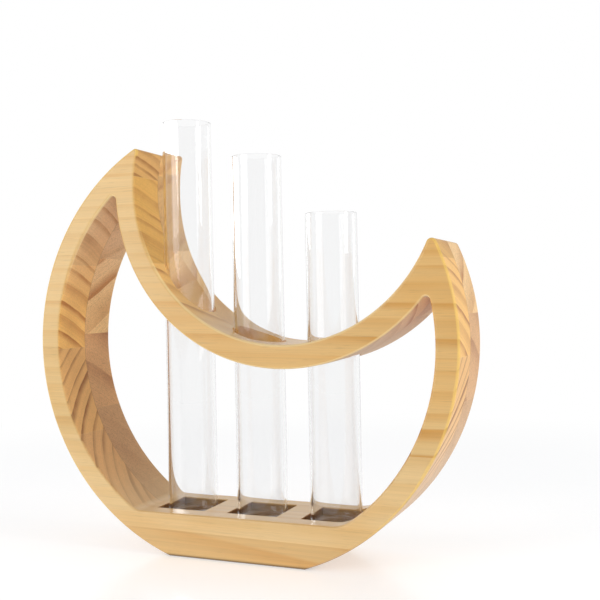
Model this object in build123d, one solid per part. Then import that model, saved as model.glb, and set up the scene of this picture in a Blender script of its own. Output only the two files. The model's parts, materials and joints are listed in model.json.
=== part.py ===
from build123d import *
import math
import os

# A crescent-moon stand of glued-up pine that holds three glass test tubes upright.
# Millimetres, +Z up, +X to the right of the front face. The origin is on the table, under the ring's middle.

# Crescent outline, seen from the front
outer_radius = 110.0
ring_wall = 10.8
foot_cut = 6.0  # how far the flat foot is cut into the disc
shelf_top = 21.0  # height of the shelf's upper face above the table
horn_spread = 89.4  # degrees between the tips of the horns, seen from the middle of the ring
crescent_tilt = 18.4  # degrees that the crescent leans to the right
deck_rise = 3.7  # lowest point of the deck's upper face above the middle of the ring, along the lean
deck_thickness = 11.3

# Corners of the outline
left_tip_radius = 1.7
right_tip_radius = 2.4
cavity_apex_radius = 2.0
left_shelf_corner_radius = 8.0
right_shelf_corner_radius = 18.0
outer_roundover = 1.4
cavity_roundover = 1.2

# Glued-up panels: two layers through the depth, each of staves that lie along X
layer_thickness = 22.5
front_staves_across = 5.05  # widths of a stave in the ring's diameter
back_staves_across = 5.5
front_joint_rise = -4.4  # the glue line nearest to the ring's middle, from that middle
back_joint_rise = 8.2
front_grain_tilt = -0.8  # degrees that the front layer's staves rise to the right
back_grain_tilt = 2.4

# Test tubes
tube_diameter = 25.0
tube_wall = 1.2
tube_bottom = 2.0
tube_corner_radius = 4.0
rim_radius = 0.5
long_tube_length = 200.0
medium_tube_length = 180.0
short_tube_length = 150.0
middle_tube_x = 5.0
tube_gap = 14.0  # between neighbouring tubes
hole_clearance = 0.75  # round the tube, in the deck
pocket_clearance = 0.75  # each side of the tube, in its square pocket
pocket_depth = 5.5

# The deck's upper face is the arc through both horns' tips and its lowest point
centre_height = outer_radius - foot_cut
half_spread = math.radians(horn_spread / 2)
half_chord = outer_radius * math.sin(half_spread)
deck_dip = outer_radius * math.cos(half_spread) - deck_rise
deck_radius = (half_chord**2 + deck_dip**2) / (2 * deck_dip)
deck_centre_x = (deck_rise + deck_radius) * math.sin(math.radians(crescent_tilt))
deck_centre_z = centre_height + (deck_rise + deck_radius) * math.cos(math.radians(crescent_tilt))

# Other sizes that follow
inner_radius = outer_radius - ring_wall
underside_radius = deck_radius + deck_thickness
underside_bottom = deck_centre_z - underside_radius
pocket_floor = shelf_top - pocket_depth
pocket_side = tube_diameter + 2 * pocket_clearance
hole_radius = tube_diameter / 2 + hole_clearance
tube_spacing = tube_diameter + tube_gap
tubes = {
    "long_tube": (middle_tube_x - tube_spacing, long_tube_length),
    "medium_tube": (middle_tube_x, medium_tube_length),
    "short_tube": (middle_tube_x + tube_spacing, short_tube_length),
}
# Between the shelf and the deck, where the pockets' cutters end and the holes' cutters start
mid_cavity = (shelf_top + underside_bottom) / 2
# Longer than the whole stand, for the bodies that cut it
beyond = 4 * outer_radius
# The roundover has to turn inside the rounding of a horn's tip, and the rim inside the tube's wall.
roundover_limit = 0.85 * min(left_tip_radius, right_tip_radius)
rim_limit = 0.45 * tube_wall


def disc(centre_x, centre_z, radius):
    """A disc in the front view, drawn in X and Z."""
    return Pos(centre_x, centre_z) * Circle(radius)


def below(height):
    """Everything under a height, in the front view."""
    return Pos(0, height - beyond / 2) * Rectangle(beyond, beyond)


def round_corners(shape, corners):
    """Round each corner of a front view that lies at one of the points, by the radius given with it."""
    for point, radius in corners:
        shape = fillet(shape.vertices().sort_by_distance(point)[0], radius)
    return shape


def crescent_outline():
    """A disc with a flat foot and the deck's hollow taken out of its top, which leaves the two horns."""
    deck_hollow = disc(deck_centre_x, deck_centre_z, deck_radius)
    shape = disc(0, centre_height, outer_radius) - below(0) - deck_hollow
    left_tip, right_tip = shape.vertices().sort_by(Axis.Y)[-2:].sort_by(Axis.X)
    corners = [(left_tip.center(), left_tip_radius), (right_tip.center(), right_tip_radius)]
    return round_corners(shape, corners)


def cavity_outline():
    """The opening between the ring, the shelf and the underside of the deck."""
    deck_side = disc(deck_centre_x, deck_centre_z, underside_radius)
    shape = disc(0, centre_height, inner_radius) - below(shelf_top) - deck_side
    by_height = shape.vertices().sort_by(Axis.Y)
    left_shelf, right_shelf = by_height[:2].sort_by(Axis.X)
    left_apex, right_apex = by_height[-2:].sort_by(Axis.X)
    corners = [
        (left_shelf.center(), left_shelf_corner_radius),
        (right_shelf.center(), right_shelf_corner_radius),
        (left_apex.center(), cavity_apex_radius),
        (right_apex.center(), cavity_apex_radius),
    ]
    return round_corners(shape, corners)


def round_over(block, wires_of, radius):
    """Round over the edges of the block's front and back faces that wires_of picks."""
    faces = block.faces().sort_by(Axis.Y)
    edges = [edge for face in (faces[0], faces[-1]) for wire in wires_of(face) for edge in wire.edges()]
    return fillet(edges, radius)


def stand():
    """The whole crescent as one block, before it is parted along its glue lines."""
    upright = (Align.CENTER, Align.CENTER, Align.MIN)
    front_view = crescent_outline() - cavity_outline()
    block = extrude(Plane.XZ * front_view, amount=layer_thickness, both=True)
    block = round_over(block, lambda face: [face.outer_wire()], min(outer_roundover, roundover_limit))
    block = round_over(block, lambda face: face.inner_wires(), cavity_roundover)
    pocket_height = mid_cavity - pocket_floor
    for x, _ in tubes.values():
        block -= Pos(x, 0, mid_cavity) * Cylinder(hole_radius, beyond, align=upright)
        block -= Pos(x, 0, pocket_floor) * Box(pocket_side, pocket_side, pocket_height, align=upright)
    return block


def side_names(count):
    """Name endings for the pieces of one stave, from left to right."""
    few = {1: [""], 2: ["_left", "_right"], 3: ["_left", "_middle", "_right"]}
    return few.get(count) or [f"_piece_{place + 1}" for place in range(count)]


def staves(block, layer, middle_y, joint_rise, staves_across, tilt):
    """Part one layer of the block along its glue lines, and name the pieces from the foot up."""
    width = 2 * outer_radius / staves_across
    reach = math.ceil(staves_across)
    turn = Pos(0, middle_y, centre_height + joint_rise) * Rot(0, -tilt, 0)
    pieces = {}
    number = 0
    for step in range(-reach, reach):
        slab = turn * Pos(0, 0, (step + 0.5) * width) * Box(beyond, layer_thickness, width)
        solids = (block & slab).solids().sort_by(Axis.X)
        if solids:
            number += 1
            for side, solid in zip(side_names(len(solids)), solids):
                pieces[f"{layer}_stave_{number}{side}"] = solid
    return pieces


def tube(x, length):
    """A plain glass tube with a flat bottom, rounded bottom corners and a fire-polished rim."""
    upright = (Align.CENTER, Align.CENTER, Align.MIN)
    outside = Cylinder(tube_diameter / 2, length, align=upright)
    outside = fillet(outside.edges().sort_by(Axis.Z)[0], tube_corner_radius)
    inside = Pos(0, 0, tube_bottom) * Cylinder(tube_diameter / 2 - tube_wall, length, align=upright)
    inside = fillet(inside.edges().sort_by(Axis.Z)[0], tube_corner_radius - tube_wall)
    glass = outside - inside
    rim = glass.faces().sort_by(Axis.Z)[-1]
    glass = fillet(rim.edges(), min(rim_radius, rim_limit))
    return Pos(x, 0, pocket_floor) * glass


whole_stand = stand()
half = layer_thickness / 2
nodes = staves(whole_stand, "front", -half, front_joint_rise, front_staves_across, front_grain_tilt)
nodes |= staves(whole_stand, "back", half, back_joint_rise, back_staves_across, back_grain_tilt)
for name, (x, length) in tubes.items():
    nodes[name] = tube(x, length)

os.makedirs("parts", exist_ok=True)
for name, shape in nodes.items():
    export_step(shape, f"parts/{name}.step")
print(len(nodes), "pieces:", ", ".join(nodes))
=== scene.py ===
# %% [markdown]
# A crescent-moon stand of glued-up pine holds three glass test tubes. The CAD model already gives every
# piece its place and size, so this lesson loads it as a fixed frame first. After that, each stave of the
# stand only needs a finish, and each tube is remade as a finer glass surface in the same place.

# %% Load the frame
import json
import math

import bpy
import numpy as np
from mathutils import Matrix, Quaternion, Vector


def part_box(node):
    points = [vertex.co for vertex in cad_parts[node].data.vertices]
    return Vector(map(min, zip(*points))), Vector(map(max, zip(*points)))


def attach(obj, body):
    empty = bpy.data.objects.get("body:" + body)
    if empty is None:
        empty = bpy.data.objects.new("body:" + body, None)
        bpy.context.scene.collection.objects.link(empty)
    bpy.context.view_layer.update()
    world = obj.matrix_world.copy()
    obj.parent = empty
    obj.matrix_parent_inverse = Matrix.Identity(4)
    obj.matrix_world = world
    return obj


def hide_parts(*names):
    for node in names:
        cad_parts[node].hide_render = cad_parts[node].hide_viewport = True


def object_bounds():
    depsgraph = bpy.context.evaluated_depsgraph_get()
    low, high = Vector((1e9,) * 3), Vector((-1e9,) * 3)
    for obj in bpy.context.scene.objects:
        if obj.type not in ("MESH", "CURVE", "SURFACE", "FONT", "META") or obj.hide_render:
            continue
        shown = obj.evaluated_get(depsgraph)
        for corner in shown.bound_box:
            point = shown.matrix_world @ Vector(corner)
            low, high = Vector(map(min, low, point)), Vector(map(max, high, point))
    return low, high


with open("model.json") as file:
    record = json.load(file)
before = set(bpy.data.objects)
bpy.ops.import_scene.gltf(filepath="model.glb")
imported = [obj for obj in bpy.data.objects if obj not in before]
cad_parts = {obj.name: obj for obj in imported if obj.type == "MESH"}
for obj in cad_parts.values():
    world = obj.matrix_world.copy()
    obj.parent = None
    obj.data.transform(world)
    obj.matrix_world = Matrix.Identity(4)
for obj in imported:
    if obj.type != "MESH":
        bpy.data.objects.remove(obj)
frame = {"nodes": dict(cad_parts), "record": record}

MM = 0.001
cad_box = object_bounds()
print("CAD box in mm:", [[round(number / MM, 1) for number in corner] for corner in cad_box])

# %% [markdown]
# The photograph was taken from a little to the right of the front, with the lens a little higher than the
# middle of the ring. Yaw, pitch, roll, distance and focal length were found by matching the ring's outline
# and the tubes' edges, so they are written down as plain numbers. The roll of one degree is why the upright
# tubes lean in the picture.

# %% Camera
PICTURE_SIDE = 600  # pixels
SENSOR_WIDTH = 36.0  # mm
focal_pixels = 898.7
camera_yaw = math.radians(22.62)
camera_pitch = math.radians(0.08)
camera_roll = math.radians(-1.1)
camera_distance = 436.9 * MM
camera_target = Vector((27.1, 0, 124.2)) * MM

towards_camera = Vector((
    math.sin(camera_yaw) * math.cos(camera_pitch),
    -math.cos(camera_yaw) * math.cos(camera_pitch),
    math.sin(camera_pitch),
))
upright_view = towards_camera.to_track_quat("Z", "Y")
camera = bpy.data.objects.new("camera", bpy.data.cameras.new("camera"))
camera.data.sensor_width = SENSOR_WIDTH
camera.data.lens = focal_pixels / PICTURE_SIDE * SENSOR_WIDTH
camera.data.clip_start = 10 * MM
camera.location = camera_target + towards_camera * camera_distance
camera.rotation_euler = (upright_view @ Quaternion((0, 0, 1), camera_roll)).to_euler()
bpy.context.scene.collection.objects.link(camera)
bpy.context.scene.camera = camera
bpy.context.scene.view_settings.view_transform = "Standard"
print("camera at", [round(number, 3) for number in camera.location], "lens", round(camera.data.lens, 1), "mm")

# %% [markdown]
# Every finish below is a small network of shader nodes. Writing such a network node by node is long, so
# these helpers do it in one line each: they take numbers or other nodes' outputs and return the new node's
# output.

# %% Node helpers
def feed(tree, socket, given):
    """Put a number, a colour or another node's output into a socket."""
    if isinstance(given, bpy.types.NodeSocket):
        tree.links.new(given, socket)
    else:
        socket.default_value = given


def calculate(tree, operation, *given):
    """A Math node: the operation on one to three values."""
    node = tree.nodes.new("ShaderNodeMath")
    node.operation = operation
    for socket, value in zip(node.inputs, given):
        feed(tree, socket, value)
    return node.outputs[0]


def product(tree, first, *others):
    """All the values multiplied together."""
    for value in others:
        first = calculate(tree, "MULTIPLY", first, value)
    return first


def ramp(tree, value, start, end, low=0.0, high=1.0):
    """A smooth step: low before start, high after end, and an S-shaped rise between them."""
    node = tree.nodes.new("ShaderNodeMapRange")
    node.interpolation_type = "SMOOTHSTEP"
    for socket, given in zip(node.inputs, (value, start, end, low, high)):
        feed(tree, socket, given)
    return node.outputs[0]


def shader_blend(tree, share, first, second):
    """The first shader, going over to the second as share goes from 0 to 1."""
    node = tree.nodes.new("ShaderNodeMixShader")
    for socket, given in zip(node.inputs, (share, first, second)):
        feed(tree, socket, given)
    return node.outputs[0]


print("node helpers ready")

# %% [markdown]
# The stand is shown on a white floor under soft lamps. A floor that is simply very bright would bleach the
# wood, so what the eye sees is kept apart from what lights the wood. The Light Path node lets the camera,
# reflections and glass see a white world at strength 1, while the wood gets a dimmer one, and the floor's
# own glow is split in the same way. Near the stand the floor is an ordinary pale surface with a faint
# gloss, so it keeps the soft contact shadow and mirrors a little of the foot. Further out it fades into the
# same white.

# %% White world and floor
WHITE = (1, 1, 1, 1)
AMBIENT = 0.49  # strength of the world, as the wood meets it
FLOOR_SIDE = 12.0  # m
FLOOR_PAINT = (0.87, 0.875, 0.885, 1)
FLOOR_GLOW_COLOUR = (0.985, 0.99, 1, 1)
FLOOR_GLOW = 0.49  # light that the floor adds to its paint, as the eye sees it
FLOOR_BOUNCE = 0.38  # the same, as the wood meets it
FLOOR_ROUGHNESS = 0.22
FLOOR_IOR = 1.38
FADE_START = 0.22  # m from the middle of the stand, where the floor begins to turn into plain white
FADE_END = 0.55  # m, where it is plain white


def seen_white(tree):
    """1 for rays that look at the background: from the camera, mirrored, or through glass."""
    path = tree.nodes.new("ShaderNodeLightPath").outputs
    mirrored = calculate(tree, "MAXIMUM", path["Is Glossy Ray"], path["Is Transmission Ray"])
    return calculate(tree, "MAXIMUM", path["Is Camera Ray"], mirrored)


def white_world():
    """A world that is white to look at and gives the wood a dimmer, even light."""
    world = bpy.data.worlds.new("white_world")
    bpy.context.scene.world = world
    world.use_nodes = True
    tree = world.node_tree
    background = tree.nodes["Background"]
    background.inputs["Color"].default_value = WHITE
    strength = calculate(tree, "MULTIPLY_ADD", seen_white(tree), 1 - AMBIENT, AMBIENT)
    feed(tree, background.inputs["Strength"], strength)


def floor_material():
    """A pale, faintly glossy floor with shadows near the stand, which turns into plain white further out."""
    material = bpy.data.materials.new("pale_floor")
    material.use_nodes = True
    tree = material.node_tree
    tree.nodes.clear()
    reach = tree.nodes.new("ShaderNodeVectorMath")
    reach.operation = "LENGTH"
    feed(tree, reach.inputs[0], tree.nodes.new("ShaderNodeTexCoord").outputs["Object"])
    seen = seen_white(tree)
    far = product(tree, ramp(tree, reach.outputs["Value"], FADE_START, FADE_END), seen)

    matt = tree.nodes.new("ShaderNodeBsdfDiffuse")
    matt.inputs["Color"].default_value = FLOOR_PAINT
    glow = tree.nodes.new("ShaderNodeEmission")
    glow.inputs["Color"].default_value = FLOOR_GLOW_COLOUR
    strength = calculate(tree, "MULTIPLY_ADD", seen, FLOOR_GLOW - FLOOR_BOUNCE, FLOOR_BOUNCE)
    feed(tree, glow.inputs["Strength"], strength)
    pale = tree.nodes.new("ShaderNodeAddShader")
    feed(tree, pale.inputs[0], matt.outputs[0])
    feed(tree, pale.inputs[1], glow.outputs[0])

    gloss = tree.nodes.new("ShaderNodeBsdfGlossy")
    gloss.inputs["Roughness"].default_value = FLOOR_ROUGHNESS
    grazing = tree.nodes.new("ShaderNodeFresnel")
    grazing.inputs["IOR"].default_value = FLOOR_IOR
    near = shader_blend(tree, grazing.outputs[0], pale.outputs[0], gloss.outputs[0])
    white = tree.nodes.new("ShaderNodeEmission")
    output = tree.nodes.new("ShaderNodeOutputMaterial")
    feed(tree, output.inputs["Surface"], shader_blend(tree, far, near, white.outputs[0]))
    return material


def floor():
    """A flat sheet under the foot, wide enough to reach past the picture in every view."""
    half = FLOOR_SIDE / 2
    corners = [(-half, -half, 0), (half, -half, 0), (half, half, 0), (-half, half, 0)]
    mesh = bpy.data.meshes.new("floor")
    mesh.from_pydata(corners, [], [(0, 1, 2, 3)])
    mesh.materials.append(floor_material())
    sheet = bpy.data.objects.new("floor", mesh)
    bpy.context.scene.collection.objects.link(sheet)


white_world()
floor()
print("white world and floor ready, ambient", AMBIENT)

# %% [markdown]
# Four square lamps give the wood its shape: a large key from the front left, a small fill from the right
# for the outer sawn ends, a weak warm one above, and one behind on the left, so that the back doesn't fall
# dark. That last one is kept out of reflections, because its image would whiten one side of the floor.

# %% Lamps
STAND_MIDDLE = (0, 0, 0.1)  # m, where the lamps aim
WARM_LAMP = (1, 0.96, 0.9)


def softbox(name, place, side, watts, colour=(1, 1, 1), mirrored=True):
    """A square lamp at a place, in metres, that faces the stand. Gloss shows it where mirrored is set."""
    lamp = bpy.data.lights.new(name, "AREA")
    lamp.size = side
    lamp.energy = watts
    lamp.color = colour
    box = bpy.data.objects.new(name, lamp)
    box.location = place
    box.rotation_euler = (Vector(place) - Vector(STAND_MIDDLE)).to_track_quat("Z", "Y").to_euler()
    box.visible_glossy = mirrored
    bpy.context.scene.collection.objects.link(box)


softbox("key", place=(-0.75, -1.1, 0.45), side=0.8, watts=5.4)
softbox("right_fill", place=(1.4, -0.05, 0.4), side=0.35, watts=5.9)
softbox("top", place=(0.3, 0.05, 1.2), side=0.9, watts=0.4, colour=WARM_LAMP)
softbox("back_fill", place=(-1.1, 1.15, 0.35), side=0.6, watts=3.4, mirrored=False)
print("lamps ready")

# %% [markdown]
# Wood needs patterns as well as sums. Blender's noise looks the same in every direction, but fibres are
# long and thin, so these helpers stretch the place before they ask for the noise there. Colours are written
# as a picture editor shows them, and turned into the linear values that shaders use.

# %% Pattern and colour helpers
def stretched(tree, vector, scale):
    """The vector with each of its parts multiplied by its own factor."""
    node = tree.nodes.new("ShaderNodeVectorMath")
    node.operation = "MULTIPLY"
    feed(tree, node.inputs[0], vector)
    feed(tree, node.inputs[1], scale)
    return node.outputs[0]


def parts_of(tree, vector):
    """The x, y and z of a vector, as three outputs."""
    split = tree.nodes.new("ShaderNodeSeparateXYZ")
    feed(tree, split.inputs[0], vector)
    return split.outputs


def noise_along(tree, value, scale):
    """Noise between 0 and 1 along a single number."""
    node = tree.nodes.new("ShaderNodeTexNoise")
    node.noise_dimensions = "1D"
    feed(tree, node.inputs["W"], value)
    feed(tree, node.inputs["Scale"], scale)
    return node.outputs["Fac"]


def cloud(tree, vector, scale, detail=2.0):
    """Noise between 0 and 1 that is stretched along each axis by the inverse of its scale."""
    node = tree.nodes.new("ShaderNodeTexNoise")
    feed(tree, node.inputs["Vector"], stretched(tree, vector, scale))
    feed(tree, node.inputs["Scale"], 1.0)
    feed(tree, node.inputs["Detail"], detail)
    return node.outputs["Fac"]


def blend(tree, share, first, second, mode="MIX"):
    """The first colour, going over to the second as share goes from 0 to 1."""
    node = tree.nodes.new("ShaderNodeMix")
    node.data_type = "RGBA"
    node.blend_type = mode
    feed(tree, node.inputs[0], share)
    feed(tree, node.inputs[6], first)
    feed(tree, node.inputs[7], second)
    return node.outputs[2]


def srgb(red, green, blue):
    """A colour as a picture editor shows it, 0 to 255, turned into the linear values that shaders use."""
    part = np.array([red, green, blue]) / 255
    linear = np.where(part <= 0.04045, part / 12.92, ((part + 0.055) / 1.055) ** 2.4)
    return (*(float(number) for number in linear), 1.0)


print("pattern helpers ready")

# %% [markdown]
# Pine shows two things at once. Across a board, growth rings: each year begins pale and darkens into a
# narrow line with a sharp outer edge. Along a board, the same rings run out as long, softer streaks. Both
# come from one solid pattern, the distance from the tree's pith, which lies along the board somewhere
# outside it. A pattern painted on the faces would break at every edge, so the distance is worked out in
# space instead, and a cut at any angle is right by itself: lines on the front, arcs on the sawn ends.

# %% Distance from the pith
SEED_STRIDES = (371.0, 137.0, 613.0)  # mm that one unit of seed moves a board's noise by
WANDER = 3.2  # mm that a ring strays from side to side over a whole board
RIPPLE = 0.5  # mm that it strays over a few centimetres
# Noise scales here and below are per mm along, across and up
WANDER_SCALE = (0.006, 0.03, 0.03)
RIPPLE_SCALE = (0.03, 0.25, 0.25)


def board_place(tree, place, given):
    """The place in one board's own directions, and the same moved by the board's seed for its noise."""
    turn = tree.nodes.new("ShaderNodeVectorRotate")
    turn.rotation_type = "Y_AXIS"
    feed(tree, turn.inputs["Vector"], place)
    feed(tree, turn.inputs["Angle"], given["Grain Tilt"])
    step = tree.nodes.new("ShaderNodeCombineXYZ")
    for socket, stride in zip(step.inputs, SEED_STRIDES):
        feed(tree, socket, calculate(tree, "MULTIPLY", given["Seed"], stride))
    shift = tree.nodes.new("ShaderNodeVectorMath")
    shift.operation = "ADD"
    feed(tree, shift.inputs[0], turn.outputs[0])
    feed(tree, shift.inputs[1], step.outputs[0])
    return turn.outputs[0], shift.outputs[0]


def pith_distance(tree, given, board, own):
    """Millimetres from the board's pith, with some wander because no tree grows quite round."""
    along, across, up = parts_of(tree, board)
    centre_y = calculate(tree, "MULTIPLY_ADD", along, given["Pith Run Y"], given["Pith Y"])
    centre_z = calculate(tree, "MULTIPLY_ADD", along, given["Pith Run Z"], given["Pith Z"])
    beside = calculate(tree, "SUBTRACT", across, centre_y)
    above = calculate(tree, "SUBTRACT", up, centre_z)
    squares = calculate(tree, "MULTIPLY_ADD", beside, beside, calculate(tree, "POWER", above, 2.0))
    wander = calculate(tree, "MULTIPLY_ADD", cloud(tree, own, WANDER_SCALE), WANDER, -WANDER / 2)
    ripple = calculate(tree, "MULTIPLY_ADD", cloud(tree, own, RIPPLE_SCALE), RIPPLE, -RIPPLE / 2)
    strayed = calculate(tree, "ADD", wander, ripple)
    return calculate(tree, "ADD", calculate(tree, "SQRT", squares), strayed)


print("distance from the pith ready")

# %% [markdown]
# That distance divided by the width of a ring counts the years, and the fraction of a year is the season,
# from 0 in spring to 1 in winter. The wood darkens through the autumn and ends abruptly in winter. No two
# years are alike, so noise along the count of years makes some rings wide and some narrow, and a random
# draw for each whole year sets how dark its late wood gets and how early it starts.

# %% Years and their late wood
YEAR_SHIFT = 0.9  # most years by which noise moves a ring
YEAR_SHIFT_SCALE = 0.6  # per year
PALEST_YEAR = 0.4  # share of dark in the faintest late wood
AUTUMN_SPREAD = 0.5  # share of a year by which the start of the late wood varies
CRISP_PEAK = 0.96  # season when a crisp ring is darkest
CRISP_END = (0.93, 1.0)  # seasons over which it goes out
SOFT_RISE = (0.25, 0.92)  # seasons over which a soft line darkens
SOFT_END = (0.88, 1.0)  # seasons over which it goes out
UNEVEN_SCALE = (0.02, 0.07, 0.07)
UNEVEN_NOISE = (0.3, 0.7)  # values of the noise for a faint and for a strong stretch of a ring
UNEVEN_STRENGTH = (0.6, 1.2)  # times as dark, in such stretches


def late_wood(tree, given, distance, own):
    """Shares of dark wood: crisp rings for the sawn ends, and softer lines for the faces along the grain."""
    year = calculate(tree, "ADD", calculate(tree, "DIVIDE", distance, given["Ring Width"]), given["Seed"])
    year = calculate(tree, "MULTIPLY_ADD", noise_along(tree, year, YEAR_SHIFT_SCALE), YEAR_SHIFT, year)
    chance = tree.nodes.new("ShaderNodeTexWhiteNoise")
    chance.noise_dimensions = "1D"
    feed(tree, chance.inputs["W"], calculate(tree, "FLOOR", year))
    first_draw, second_draw, _ = parts_of(tree, chance.outputs["Color"])
    strength = calculate(tree, "MULTIPLY_ADD", first_draw, 1 - PALEST_YEAR, PALEST_YEAR)
    unevenness = ramp(tree, cloud(tree, own, UNEVEN_SCALE), *UNEVEN_NOISE, *UNEVEN_STRENGTH)
    strength = product(tree, strength, unevenness, given["Contrast"])
    autumn = calculate(tree, "MULTIPLY_ADD", second_draw, AUTUMN_SPREAD, given["Autumn"])
    season = calculate(tree, "FRACT", year)
    crisp = product(tree, ramp(tree, season, autumn, CRISP_PEAK), ramp(tree, season, *CRISP_END, 1.0, 0.0))
    soft = product(tree, ramp(tree, season, *SOFT_RISE), ramp(tree, season, *SOFT_END, 1.0, 0.0))
    return product(tree, crisp, strength), product(tree, soft, strength)


print("late wood ready")

# %% [markdown]
# The rings only say where the wood is dark. Its colour also depends on how the saw met the grain. Sawn ends
# soak up more oil, so they are browner, and faces along the grain are paler. On the front their lines are
# faint at the left end and clearer at the right end, where the upper boards are also warmer. The back has
# the lines at full strength. Light from below reaches the undersides only after it has left the white
# floor, so they look greyer and paler than the rest. That bounce light is painted into their colour: a
# painted grey on faces along the grain, and a painted pale on sawn ends that look down.

# %% Colour of faces and sawn ends
GOLDEN_WOOD = srgb(222, 172, 96)
# Painted bounce light on sawn ends that look down
PAINTED_BOUNCE_PALE = srgb(234, 201, 162)
BOUNCE_PALE_SHARE = 0.8
# Painted bounce light on faces along the grain that look down
PAINTED_BOUNCE_GREY = srgb(188, 160, 128)
BOUNCE_GREY_SHARE = 0.55
BOARD_ENDS = (-100.0, 100.0)  # mm, x of the longest board's ends
FAINT_LINES = 0.35  # strength of the lines at the left end of the front
WARMER_X = (-90.0, 10.0)  # mm, where the faces begin to be warmer, and where they are fully so
WARMER_Z = (70.0, 95.0)  # mm, the same upwards
WARMER_SHARE = 0.5
WARM_PATCH_SCALE = (0.014, 0.05, 0.05)
WARM_PATCH_NOISE = (0.42, 0.7)  # values of the noise between which a patch comes in
WARM_PATCH_SHARE = 0.4
FACES_BACK = (0.8, 0.95)  # y of the normal between which a surface comes to face backwards
END_FACES_DOWN = (-0.75, -0.1)  # z of the normal between which a sawn end goes from the painted pale to its own tone


def face_colour(tree, given, board, own, facing, lines, underside):
    """Colour of a face along the grain: pale, with warm patches, lines of late wood and painted grey
    undersides.
    """
    along, _, up = parts_of(tree, board)
    warm_patch = ramp(tree, cloud(tree, own, WARM_PATCH_SCALE), *WARM_PATCH_NOISE, 0.0, WARM_PATCH_SHARE)
    warm_right = product(tree, ramp(tree, along, *WARMER_X, 0.0, WARMER_SHARE), ramp(tree, up, *WARMER_Z))
    face = blend(tree, calculate(tree, "ADD", warm_patch, warm_right), given["Early Wood"], GOLDEN_WOOD)
    back_face = ramp(tree, facing[1], *FACES_BACK)
    gain = calculate(tree, "SUBTRACT", given["Streaks"], FAINT_LINES)
    left_streaks = calculate(tree, "MULTIPLY_ADD", back_face, gain, FAINT_LINES)
    streaks = product(tree, lines, ramp(tree, along, *BOARD_ENDS, left_streaks, given["Streaks"]))
    face = blend(tree, streaks, face, given["Late Wood"])
    # Painted bounce light: faces that look down go greyer
    return blend(tree, product(tree, underside, BOUNCE_GREY_SHARE), face, PAINTED_BOUNCE_GREY)


def end_colour(tree, given, facing, rings):
    """Colour of a sawn end: dark rings on early wood, painted palest where the end looks down."""
    # Painted bounce light: sawn ends that look down go paler
    bounce_pale = ramp(tree, facing[2], *END_FACES_DOWN, BOUNCE_PALE_SHARE, 0.0)
    return blend(tree, rings, blend(tree, bounce_pale, given["End Early"], PAINTED_BOUNCE_PALE), given["End Late"])


print("colours of faces and sawn ends ready")

# %% [markdown]
# Over the colour lies a shade, which it is multiplied by. It holds fine fibres, broad mottles, narrower
# bands and short dark dashes, all drawn out along the board. On sawn ends the cut fibres show as specks,
# and as threads that run with the rings.

# %% Shade of fibres and pores
FIBRE_SCALE = (0.018, 1.7, 1.7)
MOTTLE_SCALE = (0.006, 0.03, 0.03)
BAND_SCALE = (0.008, 0.35, 0.35)
DASH_SCALE = (0.12, 2.2, 2.2)
PORE_SCALE = (0.25, 1.5, 1.5)
THREAD_SCALE = 1.1  # per mm from the pith
# Brightness before the patterns, and how much of it each of them adds or takes away
GROUND_SHADE = 0.75
FIBRE_DEPTH = 0.24
MOTTLE_DEPTH = 0.14
BAND_DEPTH = 0.12
DASH_DEPTH = 0.1
THREAD_DEPTH = 0.26
THREAD_LOW = -0.06  # between two threads
PORE_DEPTHS = (0.08, 0.22)  # in the front layer and in the back layer
UNDERSIDE_FIBRES = 0.5  # added to the fibres' depth on the undersides
UNDERSIDE_SHADE = -0.3
# Values of the noise between which a dash or a pore comes in
DASH_NOISE = (0.6, 0.75)
PORE_NOISE = (0.46, 0.66)
SEAM_ZONE = (-0.5, 0.5)  # mm, y between which the front layer goes over into the back layer
FACES_DOWN = (-0.9, -0.4)  # z of the normal between which an underside ends


def wood_shade(tree, board, own, distance, end, underside):
    """Brightness of the bare wood, and two of the shares that the relief follows: fibres and specks."""
    fibre = cloud(tree, own, FIBRE_SCALE, detail=3.0)
    fibre_depth = calculate(tree, "MULTIPLY_ADD", underside, UNDERSIDE_FIBRES, FIBRE_DEPTH)
    shade = calculate(tree, "MULTIPLY_ADD", fibre, fibre_depth, GROUND_SHADE)
    shade = calculate(tree, "MULTIPLY_ADD", underside, UNDERSIDE_SHADE, shade)
    shade = calculate(tree, "MULTIPLY_ADD", cloud(tree, own, MOTTLE_SCALE, detail=1.0), MOTTLE_DEPTH, shade)
    shade = calculate(tree, "MULTIPLY_ADD", cloud(tree, own, BAND_SCALE), BAND_DEPTH, shade)
    dashes = ramp(tree, cloud(tree, own, DASH_SCALE, detail=1.0), *DASH_NOISE, 0.0, DASH_DEPTH)
    pores = ramp(tree, cloud(tree, own, PORE_SCALE), *PORE_NOISE)
    pore_depth = ramp(tree, parts_of(tree, board)[1], *SEAM_ZONE, *PORE_DEPTHS)
    specks = product(tree, pores, end, pore_depth)
    thread = noise_along(tree, distance, THREAD_SCALE)
    threads = calculate(tree, "MULTIPLY_ADD", thread, THREAD_DEPTH, THREAD_LOW)
    shade = calculate(tree, "MULTIPLY_ADD", threads, end, shade)
    shade = calculate(tree, "SUBTRACT", shade, calculate(tree, "ADD", dashes, specks))
    return shade, fibre, specks


def wood_colour(tree, given, board, own, facing, end):
    """Colour of the bare wood, and the shares that the relief follows: rings, fibres and specks."""
    distance = pith_distance(tree, given, board, own)
    rings, lines = late_wood(tree, given, distance, own)
    underside = ramp(tree, facing[2], *FACES_DOWN, 1.0, 0.0)
    face = face_colour(tree, given, board, own, facing, lines, underside)
    colour = blend(tree, end, face, end_colour(tree, given, facing, rings))
    shade, fibre, specks = wood_shade(tree, board, own, distance, end, underside)
    return blend(tree, 1.0, colour, shade, "MULTIPLY"), rings, fibre, specks


print("wood colours ready")
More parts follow.
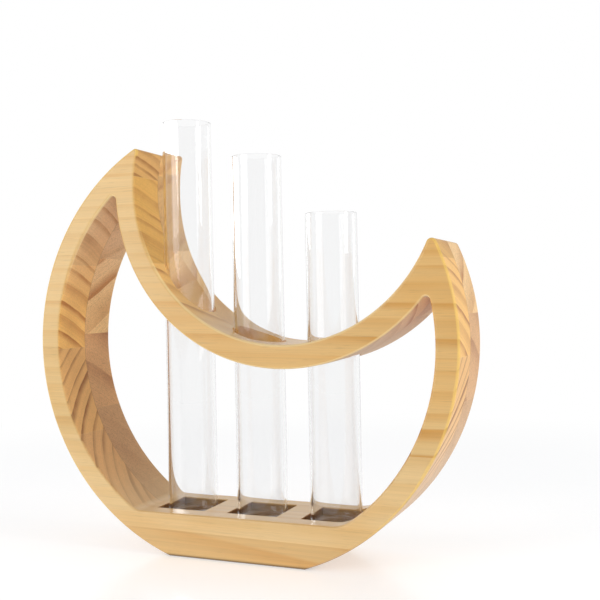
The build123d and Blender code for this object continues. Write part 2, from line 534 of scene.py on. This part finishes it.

# %% [markdown]
# The last layer belongs to the stand as a whole, so it is placed by the stand's own measures instead of a
# board's. The rounded edges get painted highlights: golden round the outside, and cream on the deck and the
# upper ring, where they look up or down. The outside gets a painted grey shade below, where it looks down.

# %% Painted highlights and shade on the edges
OUTER_RADIUS = round(cad_box[1].x / MM, 1)  # mm
HALF_DEPTH = round(cad_box[1].y / MM, 1)  # mm, from the seam between the layers to either face
FOOT_CUT = 6.0  # mm that the flat foot is cut into the disc
MIDDLE_HEIGHT = OUTER_RADIUS - FOOT_CUT  # mm, of the ring's middle
EDGE_ZONE = (HALF_DEPTH - 1.7, HALF_DEPTH - 1.2)  # mm from the seam, where the rounded edges begin
OUTER_ZONE = (OUTER_RADIUS - 5, OUTER_RADIUS - 3)  # mm from the ring's middle, where its outside begins
PAINTED_GOLDEN_HIGHLIGHT = srgb(250, 210, 108)
GOLDEN_RISE = (6.0, 30.0)  # mm, heights between which the painted golden highlight comes in
GOLDEN_HIGHLIGHT_SHARE = 0.5
PAINTED_CREAM_HIGHLIGHT = srgb(255, 230, 172)
CREAM_RISE = (55.0, 85.0)  # mm, heights between which the painted cream highlight comes in
CREAM_HIGHLIGHT_SHARE = 0.6
PAINTED_OUTSIDE_SHADE = srgb(192, 164, 136)
OUTSIDE_SHADE_SHARE = 0.6
EDGE_TURN = (0.9, 0.99)  # y of the normal between which a rounded edge goes over into the flat face
OUTSIDE_SHADE_TURN = (-0.85, -0.25)  # z of the normal between which the painted shade on the outside ends
LEVEL_TURN = (0.15, 0.55)  # z of the normal between which an edge comes to look up or down


def painted_edge_light(tree, colour, place, facing):
    """The colour with painted highlights on the rounded edges and painted shade on the outside's underside.
    """
    x, y, z = parts_of(tree, place)
    to_side = calculate(tree, "ABSOLUTE", y)
    curved = ramp(tree, calculate(tree, "ABSOLUTE", facing[1]), *EDGE_TURN, 1.0, 0.0)
    edge = product(tree, ramp(tree, to_side, *EDGE_ZONE), curved)
    rise = calculate(tree, "SUBTRACT", z, MIDDLE_HEIGHT)
    squares = calculate(tree, "MULTIPLY_ADD", rise, rise, calculate(tree, "POWER", x, 2.0))
    outer = ramp(tree, calculate(tree, "SQRT", squares), *OUTER_ZONE)
    # Painted highlight: golden on the outer rounded edges, fading out towards the foot
    golden_highlight = product(tree, edge, outer, ramp(tree, z, *GOLDEN_RISE, 0.0, GOLDEN_HIGHLIGHT_SHARE))
    colour = blend(tree, golden_highlight, colour, PAINTED_GOLDEN_HIGHLIGHT)
    # Painted shade: the outside goes grey where it looks down
    outside_shade = product(tree, outer, ramp(tree, facing[2], *OUTSIDE_SHADE_TURN, OUTSIDE_SHADE_SHARE, 0.0))
    colour = blend(tree, outside_shade, colour, PAINTED_OUTSIDE_SHADE)
    # Painted highlight: cream on the inner edges that look up or down
    level = ramp(tree, calculate(tree, "ABSOLUTE", facing[2]), *LEVEL_TURN, 0.0, CREAM_HIGHLIGHT_SHARE)
    inner = calculate(tree, "SUBTRACT", 1.0, outer)
    cream_highlight = product(tree, edge, level, ramp(tree, z, *CREAM_RISE), inner)
    return blend(tree, cream_highlight, colour, PAINTED_CREAM_HIGHLIGHT)


print("ring", OUTER_RADIUS, "mm in radius, its middle", MIDDLE_HEIGHT, "mm up")

# %% [markdown]
# The pockets and the foot's lower edge get painted shade: the shadow in the pockets round the tubes' feet,
# and the contact shadow where the foot meets the floor. Where the pockets are follows from the tubes that
# stand in them. The seam at half the depth shows as a dark hairline, and the glue between two boards as a
# pale one.

# %% Painted shade in the pockets and at the foot, and joints
SHELF_TOP = 21.0  # mm, of the shelf's upper face
row_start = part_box("long_tube")[0].x / MM
row_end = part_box("short_tube")[1].x / MM
row_middle = round((row_start + row_end) / 2, 1)  # mm, x of the middle of the row of tubes
row_half = round((row_end - row_start) / 2, 1)  # mm from there to its ends
tube_radius = round(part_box("medium_tube")[1].y / MM, 1)  # mm
ROW_ZONE = (row_half + 1.5, row_half + 2.0)  # mm from the row's middle, where the dark pockets end
POCKET_ZONE = (tube_radius + 0.8, tube_radius + 1.1)  # mm from the seam, where they end
PAINTED_POCKET_SHADE = srgb(112, 74, 36)
POCKET_SHADE_SHARE = 0.8
POCKETS_LOW = (9.0, 10.0)  # mm, heights below the pockets' floors, where their darkening fades in
POCKETS_HIGH = (SHELF_TOP - 0.8, SHELF_TOP - 0.2)  # mm, where it goes out
PAINTED_FOOT_SHADOW = srgb(104, 80, 46)
FOOT_RISE = (0.4, 1.8)  # mm, heights between which the painted foot shadow goes out
FOOT_SHADOW_SHARE = 0.85
HAIRLINE = (0.05, 0.3)  # mm from a joint, where its line is full, and where it ends
SEAM_BROWN = srgb(96, 62, 36)
SEAM_SHARE = 0.35
GLUE_PALE = srgb(240, 208, 150)
GLUE_SHARE = 0.12


def painted_shade_and_seam(tree, colour, place):
    """The colour with painted shade in the pockets, a painted contact shadow at the foot and the layers'
    seam.
    """
    x, y, z = parts_of(tree, place)
    to_side = calculate(tree, "ABSOLUTE", y)
    # Painted shade in the pockets that the tubes stand in
    below_shelf = ramp(tree, z, *POCKETS_HIGH, 1.0, 0.0)
    sunk = product(tree, below_shelf, ramp(tree, z, *POCKETS_LOW))
    from_row = calculate(tree, "ABSOLUTE", calculate(tree, "SUBTRACT", x, row_middle))
    in_row = ramp(tree, from_row, *ROW_ZONE, POCKET_SHADE_SHARE, 0.0)
    between_sides = ramp(tree, to_side, *POCKET_ZONE, 1.0, 0.0)
    colour = blend(tree, product(tree, sunk, in_row, between_sides), colour, PAINTED_POCKET_SHADE)
    # Painted contact shadow along the foot's lower edge
    colour = blend(tree, ramp(tree, z, *FOOT_RISE, FOOT_SHADOW_SHARE, 0.0), colour, PAINTED_FOOT_SHADOW)
    return blend(tree, ramp(tree, to_side, *HAIRLINE, SEAM_SHARE, 0.0), colour, SEAM_BROWN)


def glue_line(tree, colour, board, given):
    """The colour with a pale hairline wherever two boards of a layer meet."""
    from_joint = calculate(tree, "SUBTRACT", parts_of(tree, board)[2], given["Joint Height"])
    nearest = calculate(tree, "PINGPONG", from_joint, given["Half Stave"])
    return blend(tree, ramp(tree, nearest, *HAIRLINE, GLUE_SHARE, 0.0), colour, GLUE_PALE)


print("tubes", tube_radius, "mm in radius, in a row", row_half, "mm to either side of x =", row_middle)

# %% [markdown]
# All of it goes into one node group with sockets for what differs from board to board. The finish is part
# of it: on the faces along the grain the oil dries into a satin film, which mirrors the white room where
# the eye skims along the deck and the shelf. The film is thickest on and below the shelf, where oil runs
# together, and thin on the undersides. Sawn ends drink the oil and stay matt.

# %% One group for every board
FILM = 0.5  # coat weight on the faces along the grain
FILM_ON_ENDS = 0.12
POOLED_FILM = 1.3  # times as much, near the shelf
POOL_RISE = (SHELF_TOP + 3, SHELF_TOP + 20)  # mm, heights between which it thins out
THIN_FILM = 0.4  # times as much, on the undersides
THIN_TURN = (-0.6, 0.0)  # z of the normal between which it gets its usual thickness
SATIN_ROUGHNESS = 0.42
FIBRE_ROUGHNESS = 0.2  # added on the fibres
RING_HEIGHT = 0.4  # of the late wood, as a share of the fibres' height
END_TURN = (0.4, 0.85)  # x of the normal between which a face goes over into a sawn end
PINE_INPUTS = [
    ("Pith Y", "NodeSocketFloat", 0.0),
    ("Pith Z", "NodeSocketFloat", 0.0),
    ("Pith Run Y", "NodeSocketFloat", 0.0),
    ("Pith Run Z", "NodeSocketFloat", 0.0),
    ("Ring Width", "NodeSocketFloat", 7.0),
    ("Seed", "NodeSocketFloat", 0.0),
    ("Contrast", "NodeSocketFloat", 1.0),
    ("Autumn", "NodeSocketFloat", 0.1),
    ("Streaks", "NodeSocketFloat", 1.2),
    ("Grain Tilt", "NodeSocketFloat", 0.0),
    ("Joint Height", "NodeSocketFloat", 0.0),
    ("Half Stave", "NodeSocketFloat", 20.0),
    ("Early Wood", "NodeSocketColor", srgb(227, 190, 127)),
    ("Late Wood", "NodeSocketColor", srgb(208, 150, 66)),
    ("End Early", "NodeSocketColor", srgb(224, 175, 108)),
    ("End Late", "NodeSocketColor", srgb(182, 120, 58)),
]
PINE_OUTPUTS = [
    ("Color", "NodeSocketColor"),
    ("Roughness", "NodeSocketFloat"),
    ("Coat", "NodeSocketFloat"),
    ("Height", "NodeSocketFloat"),
]


def new_group(name, inputs, outputs):
    """An empty node group with the named sockets, and its input and output nodes."""
    tree = bpy.data.node_groups.new(name, "ShaderNodeTree")
    for socket_name, kind, value in inputs:
        socket = tree.interface.new_socket(socket_name, in_out="INPUT", socket_type=kind)
        socket.default_value = value
    for socket_name, kind in outputs:
        tree.interface.new_socket(socket_name, in_out="OUTPUT", socket_type=kind)
    return tree, tree.nodes.new("NodeGroupInput").outputs, tree.nodes.new("NodeGroupOutput").inputs


def pine_group():
    """Colour, roughness, coat and height of oiled pine."""
    tree, given, out = new_group("pine_growth_rings", PINE_INPUTS, PINE_OUTPUTS)
    coordinates = tree.nodes.new("ShaderNodeTexCoord").outputs
    place = stretched(tree, coordinates["Object"], (1 / MM, 1 / MM, 1 / MM))
    facing = parts_of(tree, coordinates["Normal"])
    end = ramp(tree, calculate(tree, "ABSOLUTE", facing[0]), *END_TURN)
    board, own = board_place(tree, place, given)
    colour, rings, fibre, specks = wood_colour(tree, given, board, own, facing, end)
    colour = glue_line(tree, colour, board, given)
    colour = painted_shade_and_seam(tree, painted_edge_light(tree, colour, place, facing), place)
    film = calculate(tree, "MULTIPLY_ADD", end, FILM_ON_ENDS - FILM, FILM)
    pooled = ramp(tree, parts_of(tree, place)[2], *POOL_RISE, POOLED_FILM, 1.0)
    thinned = ramp(tree, facing[2], *THIN_TURN, THIN_FILM, 1.0)
    relief = calculate(tree, "SUBTRACT", fibre, specks)
    feed(tree, out["Color"], colour)
    feed(tree, out["Roughness"], calculate(tree, "MULTIPLY_ADD", fibre, FIBRE_ROUGHNESS, SATIN_ROUGHNESS))
    feed(tree, out["Coat"], product(tree, film, pooled, thinned))
    feed(tree, out["Height"], calculate(tree, "MULTIPLY_ADD", rings, RING_HEIGHT, relief))
    return tree


pine = pine_group()
print("pine group has", len(pine.nodes), "nodes")

# %% [markdown]
# Two layers of edge-glued board are laminated face to face, and the boards came from different parts of a
# tree. Each board therefore gets its own pith, ring width and tone. The pith's place decides what the sawn
# ends show. In front, the upper boards have it level with the foot, so their arcs fall towards the seam
# between the layers, and behind, it is far above, so the arcs rise away from it. Those two together make
# the chevrons that the inside of the ring shows. The two boards under them in front have their pith behind
# and below, so their lines climb towards the seam. The foot strip's pith lies below it and runs downwards
# to the right, which draws the long slanting band on its front.

# %% Boards of the stand
LAYERS = {
    "front": {"tilt": -0.8, "joint_rise": -4.4, "staves_across": 5.05},
    "back": {"tilt": 2.4, "joint_rise": 8.2, "staves_across": 5.5},
}
# What each row below gives a board: lengths in mm, runs in mm per mm to the right
BOARD_SETTINGS = (
    "Pith Y", "Pith Z", "Pith Run Y", "Pith Run Z", "Ring Width", "Seed", "Contrast", "Autumn", "Streaks",
)
BOARDS = {
    "front": {
        1: (-5.0, -62.0, 0.0, -0.12, 14.0, 0.3, 0.9, 0.1, 0.8),
        2: (150.0, -90.0, 0.0, 0.02, 6.6, 2.4, 0.9, 0.3, 0.5),
        3: (150.0, -90.0, 0.0, 0.02, 6.6, 2.4, 1.25, 0.3, 0.8),
        4: (-60.0, 6.6, 0.0, -0.01, 7.8, 3.6, 1.3, 0.1, 0.9),
        5: (-60.0, 6.6, 0.0, -0.01, 7.8, 3.6, 0.9, 0.25, 1.0),
        6: (-60.0, 6.6, 0.0, -0.01, 4.8, 5.1, 1.4, 0.1, 0.7),
    },
    "back": {
        1: (-30.0, 7.0, 0.0, 0.02, 14.0, 6.3, 0.2, 0.1, 3.5),
        2: (-30.0, 7.0, 0.0, 0.02, 14.0, 6.3, 0.2, 0.1, 3.5),
        3: (-34.0, 9.7, 0.0, 0.02, 24.0, 8.4, 1.1, 0.1, 1.4),
        4: (-60.0, 242.0, 0.0, -0.02, 15.5, 9.2, 1.15, 0.1, 1.4),
        5: (-60.0, 330.0, 0.0, -0.02, 15.5, 9.2, 0.6, 0.1, 1.6),
        6: (-60.0, 350.0, 0.0, 0.02, 9.0, 11.8, 0.7, 0.1, 1.6),
    },
}
BROWNER_ENDS = {"End Early": srgb(200, 155, 108), "End Late": srgb(156, 104, 62)}
TONES = {
    ("front", 1): {"Early Wood": srgb(222, 181, 117), "Late Wood": srgb(208, 146, 62)},
    ("front", 2): {
        "Early Wood": srgb(232, 197, 138),
        "Late Wood": srgb(214, 160, 78),
        "End Early": srgb(221, 171, 112),
        "End Late": srgb(146, 96, 50),
    },
    ("front", 3): {"End Early": srgb(228, 177, 110), "End Late": srgb(152, 98, 48)},
    ("front", 4): {"End Early": srgb(239, 187, 106), "End Late": srgb(182, 117, 50)},
    ("front", 5): {"End Early": srgb(214, 164, 84), "End Late": srgb(168, 110, 46)},
    ("front", 6): {"End Early": srgb(212, 163, 94), "End Late": srgb(160, 104, 50)},
    ("back", 1): BROWNER_ENDS,
    ("back", 2): BROWNER_ENDS,
    ("back", 3): {"End Early": srgb(214, 165, 113), "End Late": srgb(158, 99, 54)},
    ("back", 4): {"End Early": srgb(236, 194, 134), "End Late": srgb(188, 128, 68)},
    ("back", 5): {"End Early": srgb(208, 164, 106), "End Late": srgb(172, 118, 62)},
}
WOOD_SPECULAR = 0.3
FILM_ROUGHNESS = 0.2
RELIEF_STRENGTH = 0.12
RELIEF_DEPTH = 0.2 * MM


def pine_material(layer, number):
    """Oiled pine: the shared ring pattern with one board's own pith, ring width, seed and tones."""
    material = bpy.data.materials.new(f"pine_{layer}_board_{number}")
    material.use_nodes = True
    tree = material.node_tree
    surface = tree.nodes["Principled BSDF"]
    surface.inputs["Specular IOR Level"].default_value = WOOD_SPECULAR
    surface.inputs["Coat Roughness"].default_value = FILM_ROUGHNESS
    rings = tree.nodes.new("ShaderNodeGroup")
    rings.node_tree = pine
    for setting, value in zip(BOARD_SETTINGS, BOARDS[layer][number]):
        rings.inputs[setting].default_value = value
    panel = LAYERS[layer]
    tilt = math.radians(panel["tilt"])
    rings.inputs["Grain Tilt"].default_value = tilt
    rings.inputs["Joint Height"].default_value = (MIDDLE_HEIGHT + panel["joint_rise"]) * math.cos(tilt)
    rings.inputs["Half Stave"].default_value = OUTER_RADIUS / panel["staves_across"]
    for tone, colour in TONES.get((layer, number), {}).items():
        rings.inputs[tone].default_value = colour
    relief = tree.nodes.new("ShaderNodeBump")
    relief.inputs["Strength"].default_value = RELIEF_STRENGTH
    relief.inputs["Distance"].default_value = RELIEF_DEPTH
    feed(tree, surface.inputs["Base Color"], rings.outputs["Color"])
    feed(tree, surface.inputs["Roughness"], rings.outputs["Roughness"])
    feed(tree, surface.inputs["Coat Weight"], rings.outputs["Coat"])
    feed(tree, relief.inputs["Height"], rings.outputs["Height"])
    feed(tree, surface.inputs["Normal"], relief.outputs[0])
    return material


for layer, boards in BOARDS.items():
    for number in boards:
        material = pine_material(layer, number)
        for name, node in frame["nodes"].items():
            if name.startswith(f"{layer}_stave_{number}"):
                node.data.materials.clear()
                node.data.materials.append(material)
print("boards:", {layer: len(boards) for layer, boards in BOARDS.items()})

# %% [markdown]
# A test tube is a surface of revolution. Its profile goes up the outside, over the fire-polished rim and
# down the inside, and one turn of that profile round the tube's axis gives the whole closed skin, so the
# glass has a real wall for light to bend through. The rounded parts are arcs, worked out as sines and
# cosines.

# %% Surface of a tube
AROUND = 128  # points in one turn
ARC_STEPS = 10  # points in each rounded part
TUBE_BOTTOM = 2.0 * MM
TUBE_CORNER = 4.0 * MM
RIM_RADIUS = 0.5 * MM


def arc(centre_r, centre_z, radius, start, end):
    """Points (r, z) = centre + radius (cos a, sin a), for angles a from start to end, in degrees."""
    angle = np.radians(np.linspace(start, end, ARC_STEPS))
    return np.stack([centre_r + radius * np.cos(angle), centre_z + radius * np.sin(angle)], axis=1)


def tube_profile(outer, inner, bottom, top):
    """The (r, z) outline from the underside, up the outside, over the rim, down the inside to its floor."""
    inner_corner = TUBE_CORNER - (outer - inner)
    floor_z = bottom + TUBE_BOTTOM
    return np.concatenate([
        arc(outer - TUBE_CORNER, bottom + TUBE_CORNER, TUBE_CORNER, -90, 0),
        arc(outer - RIM_RADIUS, top - RIM_RADIUS, RIM_RADIUS, 0, 90),
        arc(inner + RIM_RADIUS, top - RIM_RADIUS, RIM_RADIUS, 90, 180),
        arc(inner - inner_corner, floor_z + inner_corner, inner_corner, 0, -90),
    ])


def revolve(name, profile, middle_x):
    """Turn a profile once round a vertical axis: x = r cos a, y = r sin a, z. Both ends close on the axis."""
    angle = np.arange(AROUND) * 2 * np.pi / AROUND
    rings = np.stack([
        middle_x + np.outer(profile[:, 0], np.cos(angle)),
        np.outer(profile[:, 0], np.sin(angle)),
        np.repeat(profile[:, 1:], AROUND, axis=1),
    ], axis=2)
    poles = [[middle_x, 0, profile[0, 1]], [middle_x, 0, profile[-1, 1]]]
    points = np.concatenate([rings.reshape(-1, 3), poles])
    row, column = np.meshgrid(np.arange(len(profile) - 1), np.arange(AROUND), indexing="ij")
    beside = (column + 1) % AROUND
    low, high = row * AROUND, (row + 1) * AROUND
    walls = np.stack([low + column, low + beside, high + beside, high + column], axis=2).reshape(-1, 4)
    first = np.arange(AROUND)
    second = (first + 1) % AROUND
    last_row = (len(profile) - 1) * AROUND
    under = np.stack([second, first, np.full(AROUND, len(points) - 2)], axis=1)
    inside = np.stack([last_row + first, last_row + second, np.full(AROUND, len(points) - 1)], axis=1)
    mesh = bpy.data.meshes.new(name)
    mesh.from_pydata(points.tolist(), [], walls.tolist() + under.tolist() + inside.tolist())
    mesh.shade_smooth()
    return mesh


print("tube surfaces have", AROUND, "points in one turn")

# %% [markdown]
# The glass is clear, with a trace of grey and a few smears in its polish. Light that enters the wall from
# above is mirrored to and fro inside it. Blender follows only so many of those reflections and then gives
# up, which would leave the rims black. The Light Path node tells how many a path has behind it, so a weak
# glow takes the place of the light that was given up.

# %% Clear glass
BLACK = (0, 0, 0, 1)
GLASS_TINT = (0.955, 0.956, 0.957, 1)
GLASS_IOR = 1.47
SMEAR_SCALE = (60.0, 60.0, 25.0)  # per metre
SMEAR_NOISE = (0.5, 0.8)  # values of the noise between which a smear comes in
SMEAR_ROUGHNESS = 0.01
MIRROR_LIMIT = 4  # reflections that a path may have, by Blender's defaults
TURN_LIMIT = 12  # reflections and refractions together
CAUGHT_LIGHT = 0.22


def glass_material():
    """Clear laboratory glass with a few faint smears in its polish."""
    material = bpy.data.materials.new("clear_glass")
    material.use_nodes = True
    tree = material.node_tree
    surface = tree.nodes["Principled BSDF"]
    surface.inputs["Base Color"].default_value = GLASS_TINT
    surface.inputs["Transmission Weight"].default_value = 1.0
    surface.inputs["IOR"].default_value = GLASS_IOR
    place = tree.nodes.new("ShaderNodeTexCoord").outputs["Object"]
    smears = ramp(tree, cloud(tree, place, SMEAR_SCALE), *SMEAR_NOISE, 0.0, SMEAR_ROUGHNESS)
    feed(tree, surface.inputs["Roughness"], smears)
    path = tree.nodes.new("ShaderNodeLightPath").outputs
    caught = calculate(tree, "GREATER_THAN", path["Glossy Depth"], MIRROR_LIMIT - 0.5)
    spent = calculate(tree, "GREATER_THAN", path["Ray Depth"], TURN_LIMIT - 0.5)
    given_up = calculate(tree, "MAXIMUM", caught, spent)
    feed(tree, surface.inputs["Emission Color"], blend(tree, given_up, BLACK, WHITE))
    surface.inputs["Emission Strength"].default_value = CAUGHT_LIGHT
    return material


glass = glass_material()
print("glass ready, index", GLASS_IOR)

# %% [markdown]
# Each tube takes its outer radius, its ends and its place from the CAD piece that it replaces, and its bore
# from the mount in its mouth, so it fills the same room. It rides on the same body, which lets it be lifted
# out of the stand.

# %% Three tubes
bores = {mount["name"]: mount["dims"].get("r_mm") for mount in frame["record"]["mounts"]}
for tube_name in ("long_tube", "medium_tube", "short_tube"):
    low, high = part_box(tube_name)
    outline = tube_profile((high.x - low.x) / 2, bores[f"{tube_name}_mouth"] * MM, low.z, high.z)
    tube_mesh = revolve(f"{tube_name}_glass", outline, (low.x + high.x) / 2)
    tube_mesh.materials.append(glass)
    tube = bpy.data.objects.new(f"{tube_name}_glass", tube_mesh)
    bpy.context.scene.collection.objects.link(tube)
    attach(tube, tube_name)
    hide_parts(tube_name)
    # The wood is lit as if the glass weren't there, because lamplight isn't followed through bent glass
    tube.visible_shadow = False
    tube.visible_diffuse = False
    print(tube_name, len(tube_mesh.polygons), "faces")
